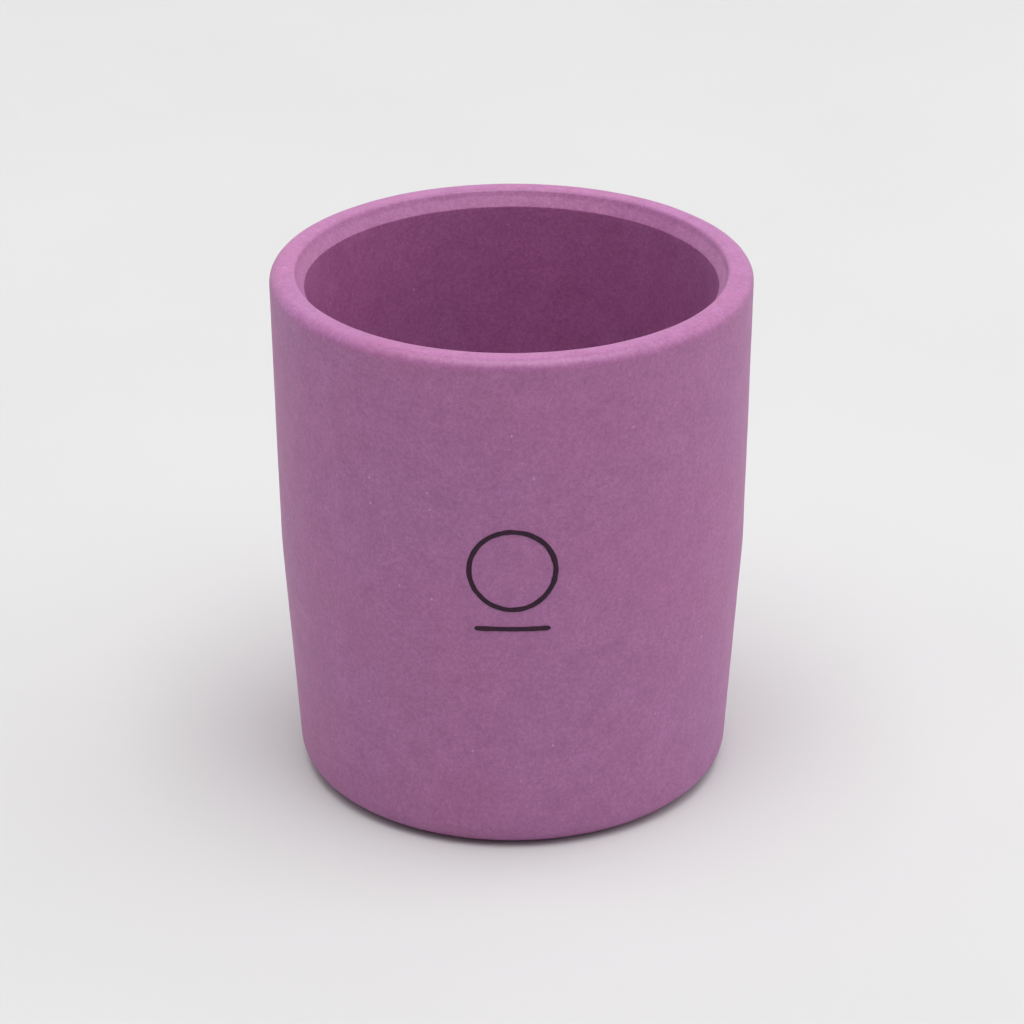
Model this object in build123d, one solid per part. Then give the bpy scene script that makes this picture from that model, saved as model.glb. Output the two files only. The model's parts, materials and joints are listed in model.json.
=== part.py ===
"""Gas nozzle (cup) of a TIG welding torch: one pressed and sintered alumina piece, with
the mark that is fired on its side.

The frame is the nozzle's own. The origin is on its axis at the mouth face, +Z points up
to the end that fits the torch, and -Y points out through the middle of the mark.
All sizes are in millimetres.
"""
import os
from math import radians, tan
from build123d import *

# Inside of the nozzle
socket_radius = 9.7        # takes the gas lens or collet body
socket_depth = 13.8        # torch-end face to the foot of the socket's round wall
shoulder_angle = 45        # degrees from level, of the cone between socket and mouth bore
mouth_bore_radius = 8.75   # the gas outlet, 11/16 in across
mouth_lip_round = 0.15
lead_in_width = 0.32       # of the chamfer at the socket's mouth
lead_in_depth = 0.46
flare_width = 0.15         # of the steeper flare from the lead-in up to the torch-end face
flare_depth = 0.3
rim_round = 0.2            # between the flare and the torch-end face

# Outside of the nozzle
length = 25.4              # mouth face to torch-end face
torch_end_wall = 1.63      # round the socket, at the torch end
upper_taper = 0.2          # fall in radius from the torch end to the break
break_height = 11.9        # above the mouth face, where the steeper taper starts
mouth_wall = 1.62          # round the gas outlet, at the mouth end
torch_end_round = 0.5
mouth_end_round = 1.2

torch_end_radius = socket_radius + torch_end_wall
break_radius = torch_end_radius - upper_taper
mouth_end_radius = mouth_bore_radius + mouth_wall

# Mark fired on the upper taper: a ring above a short bar
ink_thickness = 0.04
stroke_width = 0.25
bar_length = 3.5
bar_gap = 0.05             # break in the taper to the bar's lower edge
ring_diameter = 4.2
ring_gap = 0.75            # bar to ring


def nozzle_section():
    """Half section of the nozzle in the XZ plane, with its corners rounded."""
    socket_foot = length - socket_depth
    shoulder_drop = abs(socket_radius - mouth_bore_radius) * tan(radians(shoulder_angle))
    lead_in_radius = socket_radius + lead_in_width
    lead_in_top = length - flare_depth
    corners = {
        "mouth_lip": (mouth_bore_radius, 0),
        "mouth_edge": (mouth_end_radius, 0),
        "taper_break": (break_radius, break_height),
        "torch_edge": (torch_end_radius, length),
        "rim": (lead_in_radius + flare_width, length),
        "lead_in_top": (lead_in_radius, lead_in_top),
        "socket_top": (socket_radius, lead_in_top - lead_in_depth),
        "socket_foot": (socket_radius, socket_foot),
        "shoulder_foot": (mouth_bore_radius, socket_foot - shoulder_drop),
    }
    rounds = {
        "mouth_lip": mouth_lip_round,
        "mouth_edge": mouth_end_round,
        "torch_edge": torch_end_round,
        "rim": rim_round,
    }
    section = Polygon(*corners.values(), align=None)
    for name, radius in rounds.items():
        section = fillet(section.vertices().sort_by_distance(corners[name])[0], radius)
    return Plane.XZ * section


def ink_film():
    """Thin cone of ink all round the upper taper, which the marks are cut from."""
    section = Polygon(
        (break_radius, break_height),
        (torch_end_radius, length),
        (torch_end_radius + ink_thickness, length),
        (break_radius + ink_thickness, break_height),
        align=None,
    )
    return revolve(Plane.XZ * section, axis=Axis.Z)


def mark(outline):
    """The part of the ink film that an outline on the XZ plane covers, on the -Y side."""
    return ink_film() & extrude(outline, amount=2 * torch_end_radius, dir=(0, -1, 0))


def mark_shapes():
    """Outlines of the marks on the XZ plane, by node name."""
    bar_middle = break_height + bar_gap + stroke_width / 2
    ring_radius = ring_diameter / 2
    ring_middle = bar_middle + stroke_width / 2 + ring_gap + ring_radius
    bar = Plane.XZ * Pos(0, bar_middle) * Rectangle(bar_length, stroke_width)
    disc = Circle(ring_radius) - Circle(ring_radius - stroke_width)
    return {"mark_bar": bar, "mark_ring": Plane.XZ * Pos(0, ring_middle) * disc}


def main():
    parts = {"nozzle_body": revolve(nozzle_section(), axis=Axis.Z)}
    for name, outline in mark_shapes().items():
        parts[name] = mark(outline)
    os.makedirs("parts", exist_ok=True)
    for name, part in parts.items():
        part.label = name
        export_step(part, f"parts/{name}.step")


main()
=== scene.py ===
"""Looks of a TIG torch's ceramic gas nozzle: sandy pink alumina with a fired ink mark.

Everything is in metres, in the nozzle's own frame: +Z up the axis from the mouth face,
and -Y out through the middle of the mark.
"""
import json
import math
import bpy
from mathutils import Matrix, Vector, noise


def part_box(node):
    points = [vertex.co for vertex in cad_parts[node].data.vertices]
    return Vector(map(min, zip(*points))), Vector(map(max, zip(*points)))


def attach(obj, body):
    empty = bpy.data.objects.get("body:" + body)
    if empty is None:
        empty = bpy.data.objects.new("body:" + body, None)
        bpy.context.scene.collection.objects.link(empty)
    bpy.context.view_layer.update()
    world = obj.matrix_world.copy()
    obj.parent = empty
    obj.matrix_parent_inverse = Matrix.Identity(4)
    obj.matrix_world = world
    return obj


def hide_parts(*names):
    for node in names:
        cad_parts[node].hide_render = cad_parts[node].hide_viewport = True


MM = 0.001

# Nozzle sizes that the frame's boxes and mounts don't give
TORCH_END_WALL = 1.63 * MM
UPPER_TAPER = 0.2 * MM
BREAK_HEIGHT = 11.9 * MM
MOUTH_WALL = 1.62 * MM
LEAD_IN_WIDTH = 0.32 * MM
LEAD_IN_DEPTH = 0.46 * MM
FLARE_WIDTH = 0.15 * MM
FLARE_DEPTH = 0.3 * MM

# Roundings of the nozzle's corners
MOUTH_LIP_ROUND = 0.15 * MM
MOUTH_END_ROUND = 1.20 * MM
BREAK_ROUND = 30 * MM
TORCH_END_ROUND = 0.50 * MM
RIM_ROUND = 0.20 * MM
LEAD_IN_ROUND = 0.30 * MM
SOCKET_TOP_ROUND = 0.12 * MM
SOCKET_FOOT_ROUND = 0.25 * MM
SHOULDER_FOOT_ROUND = 0.50 * MM

# Mesh of the nozzle
SPOKES = 256
WALL_STEP = 0.4 * MM
ARC_STEP = math.radians(9)

# How far the fired surface wanders from true, and over what distance
WANDER = 0.012 * MM
WANDER_LENGTH = 4.0 * MM
FINE_WANDER_SHARE = 0.5
FINE_WANDER_RATIO = 3.1
PRESS_WAVE = 0.007 * MM
PRESS_WAVES_ROUND = 3
PRESS_WAVE_HEIGHT = 6 * MM
TORCH_END_SHARE = 0.99  # of the height, above which the surface also dips

# Ink strokes, and how uneven their print is
STROKE_WIDTH = 0.25 * MM
INK_HEIGHT = 0.03 * MM
INK_SINK = 0.015 * MM
STROKE_STEP = 0.09 * MM
UNEVEN_LENGTH = 0.35 * MM
UNEVEN_WIDTH = 0.16  # share of a stroke's width
UNEVEN_PLACE = 0.06  # share of a stroke's width
PLACE_NOISE_SCALE = 0.7
PLACE_NOISE_SHIFT = Vector((7, 0, 0))
BLUNT_END = 0.02  # keeps a stroke's round end from closing to a point
STROKE_PROFILE = ((-1, 0), (-0.86, 0.7), (-0.4, 1), (0.4, 1), (0.86, 0.7), (1, 0))

# Camera
CAMERA_DISTANCE = 181.3 * MM
CAMERA_ELEVATION = math.radians(25.69)
CAMERA_ROLL = math.radians(-0.15)
CAMERA_LENS = 132.2
CAMERA_AIM = (-0.012 * MM, 0, -0.043 * MM)  # from the nozzle's centre

# Grain of the fired alumina, from fine to coarse, and the depth of its bumps
GRAIN_SIZE = 0.09 * MM
SAND_SIZE = 0.22 * MM
MOTTLE_SIZE = 1.1 * MM
CLOUD_SIZE = 9.0 * MM
GRAIN_DEPTH = 0.006 * MM
SAND_DEPTH = 0.010 * MM
MOTTLE_DEPTH = 0.012 * MM
SPECK_SPACING = 0.7 * MM
SPECK_SIZE = 0.08 * MM
SPECK_SHARE = 0.22
ALUMINA_IOR = 1.76

# Grain of the ink, and of the floor
INK_GRAIN_SIZE = 0.12 * MM
INK_CLOUD_SIZE = 0.8 * MM
INK_GRAIN_DEPTH = 0.006 * MM
FLOOR_CLOUD_SIZE = 30 * MM

# Studio: metres and watts, each softbox as (place, width, height, power)
FLOOR_HALF = 0.45
FILL_LIGHT = 0.02
BACKDROP = 0.78
SOFTBOXES = {
    "top_softbox": ((0, -0.10, 0.62), 0.45, 0.45, 2.9),
    "left_softbox": ((-0.45, -0.02, 0.45), 0.9, 0.9, 1.4),
    "right_softbox": ((0.45, -0.02, 0.45), 0.9, 0.9, 2.8),
    "front_softbox": ((0, -0.45, 0.45), 0.9, 0.9, 0.4),
    "back_softbox": ((0, 0.80, 0.30), 3.0, 0.5, 6.7),
}


# ---- Meshes ----

def rounded_outline(corners, step):
    """Points round a closed outline of (radius, height, rounding) corners."""
    points = []
    count = len(corners)
    for i in range(count):
        here = Vector(corners[i][:2])
        before = (Vector(corners[i - 1][:2]) - here).normalized()
        after = (Vector(corners[(i + 1) % count][:2]) - here).normalized()
        rounding = corners[i][2]
        half_angle = before.angle(after) / 2
        turn = math.pi - 2 * half_angle
        reach = rounding / math.tan(half_angle)
        centre = here + (before + after).normalized() * rounding / math.sin(half_angle)
        start = here + before * reach - centre
        side = 1 if before.x * after.y - before.y * after.x < 0 else -1
        steps = max(2, math.ceil(turn / ARC_STEP))
        arc = []
        for k in range(steps + 1):
            swing = side * turn * k / steps
            spin = Matrix.Rotation(swing, 2)
            arc.append(centre + spin @ start)
        if points:
            points += between(points[-1], arc[0], step)
        points += arc
    points += between(points[-1], points[0], step)
    return points


def between(start, end, step):
    """Evenly spaced points strictly between two, no further apart than the step."""
    steps = max(1, math.ceil((end - start).length / step))
    return [start.lerp(end, k / steps) for k in range(1, steps)]


def nozzle_corners():
    """The nozzle's half section as (radius, height, rounding) corners."""
    torch_end = socket_radius + TORCH_END_WALL
    lead_in = socket_radius + LEAD_IN_WIDTH
    lead_in_foot = length - FLARE_DEPTH - LEAD_IN_DEPTH
    socket_foot = lead_in_foot - mounts["torch_socket"]["length_mm"] * MM
    shoulder_foot = socket_foot - (socket_radius - mouth_radius)
    return [
        (mouth_radius, 0, MOUTH_LIP_ROUND),
        (mouth_radius + MOUTH_WALL, 0, MOUTH_END_ROUND),
        (torch_end - UPPER_TAPER, BREAK_HEIGHT, BREAK_ROUND),
        (torch_end, length, TORCH_END_ROUND),
        (lead_in + FLARE_WIDTH, length, RIM_ROUND),
        (lead_in, length - FLARE_DEPTH, LEAD_IN_ROUND),
        (socket_radius, lead_in_foot, SOCKET_TOP_ROUND),
        (socket_radius, socket_foot, SOCKET_FOOT_ROUND),
        (mouth_radius, shoulder_foot, SHOULDER_FOOT_ROUND),
    ]


def wander(radius, height, angle):
    """How far the fired surface stands off its true place at a point."""
    place = Vector((math.cos(angle) * radius, math.sin(angle) * radius, height)) / WANDER_LENGTH
    drift = noise.noise(place) + FINE_WANDER_SHARE * noise.noise(place * FINE_WANDER_RATIO)
    wave = math.sin(PRESS_WAVES_ROUND * angle + height / PRESS_WAVE_HEIGHT)
    return WANDER * drift + PRESS_WAVE * wave


def nozzle():
    """The nozzle, turned from its outline, with a torch end that is a little uneven."""
    outline = rounded_outline(nozzle_corners(), WALL_STEP)
    top = max(p.y for p in outline)
    verts = []
    for i in range(SPOKES):
        angle = 2 * math.pi * i / SPOKES
        for radius, height in outline:
            off = wander(radius, height, angle)
            reach = radius + off
            lift = -abs(off) * (height / top > TORCH_END_SHARE)
            verts.append((reach * math.cos(angle), reach * math.sin(angle), height + lift))
    count = len(outline)
    faces = []
    for i in range(SPOKES):
        here, there = i * count, (i + 1) % SPOKES * count
        for k in range(count):
            n = (k + 1) % count
            faces.append((here + k, there + k, there + n, here + n))
    return make_object("nozzle_ceramic", verts, faces)


def make_object(name, verts, faces):
    """A smooth-shaded object in the scene."""
    mesh = bpy.data.meshes.new(name)
    mesh.from_pydata(verts, [], faces)
    mesh.validate()
    mesh.shade_smooth()
    piece = bpy.data.objects.new(name, mesh)
    bpy.context.collection.objects.link(piece)
    return piece


def on_taper(across, height, off):
    """A point that stands off the upper taper, across from the middle of the mark."""
    share = (length - height) / (length - BREAK_HEIGHT)
    radius = socket_radius + TORCH_END_WALL - share * UPPER_TAPER + off
    return (across, -math.sqrt(radius * radius - across * across), height)


def stroke(name, path, width, closed):
    """A raised line of ink along (across, height) points, with slightly uneven edges."""
    count = len(path)
    verts = []
    for i, point in enumerate(path):
        after = path[(i + 1) % count] if closed or i < count - 1 else point
        before = path[i - 1] if closed or i > 0 else point
        along = (after - before).normalized()
        side = Vector((-along.y, along.x))
        spot = Vector((point.x, 0, point.y)) / UNEVEN_LENGTH
        half = width / 2 * (1 + UNEVEN_WIDTH * noise.noise(spot))
        if not closed:
            left = min(i, count - 1 - i) * STROKE_STEP
            half *= math.sqrt(max(BLUNT_END, 1 - max(0, 1 - left / (width / 2)) ** 2))
        place_noise = noise.noise(spot * PLACE_NOISE_SCALE + PLACE_NOISE_SHIFT)
        slide = UNEVEN_PLACE * width * place_noise
        for across, lift in STROKE_PROFILE:
            place = point + side * (across * half + slide)
            verts.append(on_taper(place.x, place.y, INK_HEIGHT * lift - INK_SINK * (lift == 0)))
    ring = len(STROKE_PROFILE)
    faces = []
    for i in range(count if closed else count - 1):
        here, there = i * ring, (i + 1) % count * ring
        for k in range(ring):
            n = (k + 1) % ring
            faces.append((here + k, here + n, there + n, there + k))
    if not closed:
        faces.append(tuple(range(ring))[::-1])
        faces.append(tuple(range((count - 1) * ring, count * ring)))
    return make_object(name, verts, faces)


def mark_ring():
    low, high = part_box("mark_ring")
    radius = (high.x - low.x - STROKE_WIDTH) / 2
    middle = (low.z + high.z) / 2
    count = round(2 * math.pi * radius / STROKE_STEP)
    turns = [2 * math.pi * k / count for k in range(count)]
    path = [Vector((radius * math.sin(t), middle + radius * math.cos(t))) for t in turns]
    return stroke("ink_ring", path, STROKE_WIDTH, closed=True)


def mark_bar():
    low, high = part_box("mark_bar")
    middle = (low.z + high.z) / 2
    count = round((high.x - low.x) / STROKE_STEP)
    path = [Vector((low.x + (high.x - low.x) * k / count, middle)) for k in range(count + 1)]
    return stroke("ink_bar", path, high.z - low.z, closed=False)


# ---- Materials ----

def new_material(name):
    """A material with its node tree, shader and object coordinates."""
    material = bpy.data.materials.new(name)
    material.use_nodes = True
    tree = material.node_tree
    coordinates = tree.nodes.new("ShaderNodeTexCoord").outputs["Object"]
    return material, tree, tree.nodes["Principled BSDF"], coordinates


def noise_of(tree, coordinates, size, detail=2.0):
    """Noise whose blotches are about one size across."""
    node = tree.nodes.new("ShaderNodeTexNoise")
    node.inputs["Scale"].default_value = 1 / size
    node.inputs["Detail"].default_value = detail
    tree.links.new(coordinates, node.inputs["Vector"])
    return node.outputs["Fac"]


def ramp(tree, value, stops):
    """A colour ramp over a value, from (place, colour) stops."""
    node = tree.nodes.new("ShaderNodeValToRGB")
    elements = node.color_ramp.elements
    while len(elements) < len(stops):
        elements.new(0.5)
    for element, (place, colour) in zip(elements, stops):
        element.position = place
        element.color = (*colour, 1)
    tree.links.new(value, node.inputs["Fac"])
    return node.outputs["Color"]


def blend(tree, kind, factor, first, second):
    """Mixes two colours. The factor is a number or a socket."""
    node = tree.nodes.new("ShaderNodeMix")
    node.data_type = "RGBA"
    node.blend_type = kind
    sockets = {"Factor": node.inputs[0], "A": node.inputs[6], "B": node.inputs[7]}
    for name, value in (("Factor", factor), ("A", first), ("B", second)):
        if isinstance(value, bpy.types.NodeSocket):
            tree.links.new(value, sockets[name])
        else:
            sockets[name].default_value = value
    return node.outputs[2]


def scaled(tree, value, low, high):
    """Maps 0 to 1 onto a range."""
    node = tree.nodes.new("ShaderNodeMapRange")
    node.inputs["To Min"].default_value = low
    node.inputs["To Max"].default_value = high
    tree.links.new(value, node.inputs["Value"])
    return node.outputs["Result"]


def specks(tree, coordinates, spacing, size, share):
    """1 inside scattered specks of one size, in a share of cells of one spacing."""
    cells = tree.nodes.new("ShaderNodeTexVoronoi")
    cells.inputs["Scale"].default_value = 1 / spacing
    tree.links.new(coordinates, cells.inputs["Vector"])
    inside = ramp(tree, cells.outputs["Distance"], [
        (0.5 * size / spacing, (1, 1, 1)),
        (0.9 * size / spacing, (0, 0, 0)),
    ])
    chosen = ramp(tree, cells.outputs["Color"], [
        (1 - share - 0.01, (0, 0, 0)),
        (1 - share, (1, 1, 1)),
    ])
    return blend(tree, "MULTIPLY", 1.0, inside, chosen)


def bumps(tree, shader, layers):
    """Stacks bump layers of (height socket, depth in metres) on a shader's normal."""
    normal = None
    for height, depth in layers:
        node = tree.nodes.new("ShaderNodeBump")
        node.inputs["Strength"].default_value = 1.0
        node.inputs["Distance"].default_value = depth
        tree.links.new(height, node.inputs["Height"])
        if normal:
            tree.links.new(normal, node.inputs["Normal"])
        normal = node.outputs["Normal"]
    tree.links.new(normal, shader.inputs["Normal"])


def alumina():
    """Sandy pink ceramic: clouded hue, three sizes of grain and a few pale specks."""
    material, tree, shader, place = new_material("fired_alumina")
    grain = noise_of(tree, place, GRAIN_SIZE)
    sand = noise_of(tree, place, SAND_SIZE)
    mottle = noise_of(tree, place, MOTTLE_SIZE, 4.0)
    cloud = noise_of(tree, place, CLOUD_SIZE, 3.0)
    hue = ramp(tree, cloud, [
        (0.34, (0.416, 0.124, 0.322)),
        (0.50, (0.405, 0.124, 0.326)),
        (0.66, (0.397, 0.127, 0.338)),
    ])
    mottled = blend(tree, "MULTIPLY", 1.0, hue, ramp(tree, mottle, [
        (0.30, (0.94, 0.90, 0.93)),
        (0.70, (1.06, 1.10, 1.07)),
    ]))
    sanded = blend(tree, "MULTIPLY", 1.0, mottled, ramp(tree, sand, [
        (0.30, (0.91, 0.83, 0.89)),
        (0.70, (1.09, 1.17, 1.11)),
    ]))
    grained = blend(tree, "MULTIPLY", 1.0, sanded, ramp(tree, grain, [
        (0.30, (0.90, 0.83, 0.88)),
        (0.70, (1.10, 1.17, 1.12)),
    ]))
    pale = specks(tree, place, SPECK_SPACING, SPECK_SIZE, SPECK_SHARE)
    speckled = blend(tree, "MIX", pale, grained, (0.56, 0.30, 0.50, 1))
    tree.links.new(speckled, shader.inputs["Base Color"])
    tree.links.new(scaled(tree, sand, 0.46, 0.66), shader.inputs["Roughness"])
    shader.inputs["IOR"].default_value = ALUMINA_IOR
    bumps(tree, shader, [
        (mottle, MOTTLE_DEPTH),
        (sand, SAND_DEPTH),
        (grain, GRAIN_DEPTH),
    ])
    return material


def fired_ink():
    """Near-black purple ink, paler where its grain is worn."""
    material, tree, shader, place = new_material("fired_ink")
    grain = noise_of(tree, place, INK_GRAIN_SIZE)
    cloud = noise_of(tree, place, INK_CLOUD_SIZE)
    dark = ramp(tree, cloud, [(0.35, (0.026, 0.010, 0.026)), (0.65, (0.040, 0.011, 0.030))])
    worn = blend(tree, "MIX", ramp(tree, grain, [
        (0.52, (0, 0, 0)),
        (0.80, (0.4, 0.4, 0.4)),
    ]), dark, (0.09, 0.035, 0.08, 1))
    tree.links.new(worn, shader.inputs["Base Color"])
    tree.links.new(scaled(tree, grain, 0.5, 0.75), shader.inputs["Roughness"])
    shader.inputs["Specular IOR Level"].default_value = 0.25
    bumps(tree, shader, [(grain, INK_GRAIN_DEPTH)])
    return material


def pale_floor():
    material, tree, shader, place = new_material("pale_floor")
    cloud = noise_of(tree, place, FLOOR_CLOUD_SIZE, 3.0)
    tree.links.new(ramp(tree, cloud, [
        (0.3, (0.65, 0.65, 0.65)),
        (0.7, (0.67, 0.67, 0.67)),
    ]), shader.inputs["Base Color"])
    shader.inputs["Roughness"].default_value = 0.8
    shader.inputs["Specular IOR Level"].default_value = 0.2
    return material


# ---- Scene ----

def dress(piece, material, node):
    """Gives a piece its material and its body, and hides the CAD part it stands in for."""
    piece.data.materials.append(material)
    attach(piece, "root")
    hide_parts(node)


def add_floor():
    """The floor is level with the mouth face that the nozzle stands on."""
    half = FLOOR_HALF
    corners = [(-half, -half, 0), (half, -half, 0), (half, half, 0), (-half, half, 0)]
    floor = make_object("floor", corners, [(0, 1, 2, 3)])
    floor.data.materials.append(pale_floor())


def add_light(name, place, width, height, power):
    """A soft light that faces the nozzle."""
    lamp = bpy.data.lights.new(name, "AREA")
    lamp.shape = "RECTANGLE"
    lamp.size = width
    lamp.size_y = height
    lamp.energy = power
    light = bpy.data.objects.new(name, lamp)
    light.location = place
    light.rotation_euler = Vector(place).to_track_quat("Z", "Y").to_euler()
    bpy.context.collection.objects.link(light)


def add_world():
    """A dim, even fill light, and a pale backdrop that only shows past the floor's edge."""
    world = bpy.data.worlds.new("studio")
    world.use_nodes = True
    tree = world.node_tree
    camera_ray = tree.nodes.new("ShaderNodeLightPath").outputs["Is Camera Ray"]
    strength = scaled(tree, camera_ray, FILL_LIGHT, BACKDROP)
    background = tree.nodes["Background"]
    background.inputs["Color"].default_value = (1, 1, 1, 1)
    tree.links.new(strength, background.inputs["Strength"])
    bpy.context.scene.world = world


def add_camera():
    """The camera, in front of the mark and looking down on it."""
    low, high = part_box("nozzle_body")
    back = Vector((0, -math.cos(CAMERA_ELEVATION), math.sin(CAMERA_ELEVATION)))
    camera = bpy.data.objects.new("camera", bpy.data.cameras.new("camera"))
    camera.data.lens = CAMERA_LENS
    camera.data.clip_start = 0.01
    camera.data.clip_end = 10
    aim = (low + high) / 2 + Vector(CAMERA_AIM)
    turn = back.to_track_quat("Z", "Y").to_matrix() @ Matrix.Rotation(CAMERA_ROLL, 3, "Z")
    camera.matrix_world = Matrix.Translation(aim + back * CAMERA_DISTANCE) @ turn.to_4x4()
    bpy.context.collection.objects.link(camera)
    bpy.context.scene.camera = camera


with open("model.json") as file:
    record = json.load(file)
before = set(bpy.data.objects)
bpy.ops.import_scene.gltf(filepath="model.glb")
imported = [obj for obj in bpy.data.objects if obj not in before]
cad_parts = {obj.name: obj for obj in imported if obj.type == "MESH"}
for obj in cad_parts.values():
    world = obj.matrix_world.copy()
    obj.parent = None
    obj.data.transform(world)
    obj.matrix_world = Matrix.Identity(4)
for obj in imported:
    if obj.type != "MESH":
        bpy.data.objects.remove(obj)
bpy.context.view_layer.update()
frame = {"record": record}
mounts = {m["name"]: m["dims"] for m in frame["record"]["mounts"]}
socket_radius = mounts["torch_socket"]["r_mm"] * MM
mouth_radius = mounts["gas_mouth"]["r_mm"] * MM
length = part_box("nozzle_body")[1].z

ceramic, ink = alumina(), fired_ink()
dress(nozzle(), ceramic, "nozzle_body")
dress(mark_ring(), ink, "mark_ring")
dress(mark_bar(), ink, "mark_bar")

add_floor()
add_world()
for name, softbox in SOFTBOXES.items():
    add_light(name, *softbox)
add_camera()
bpy.context.scene.view_settings.view_transform = "Standard"
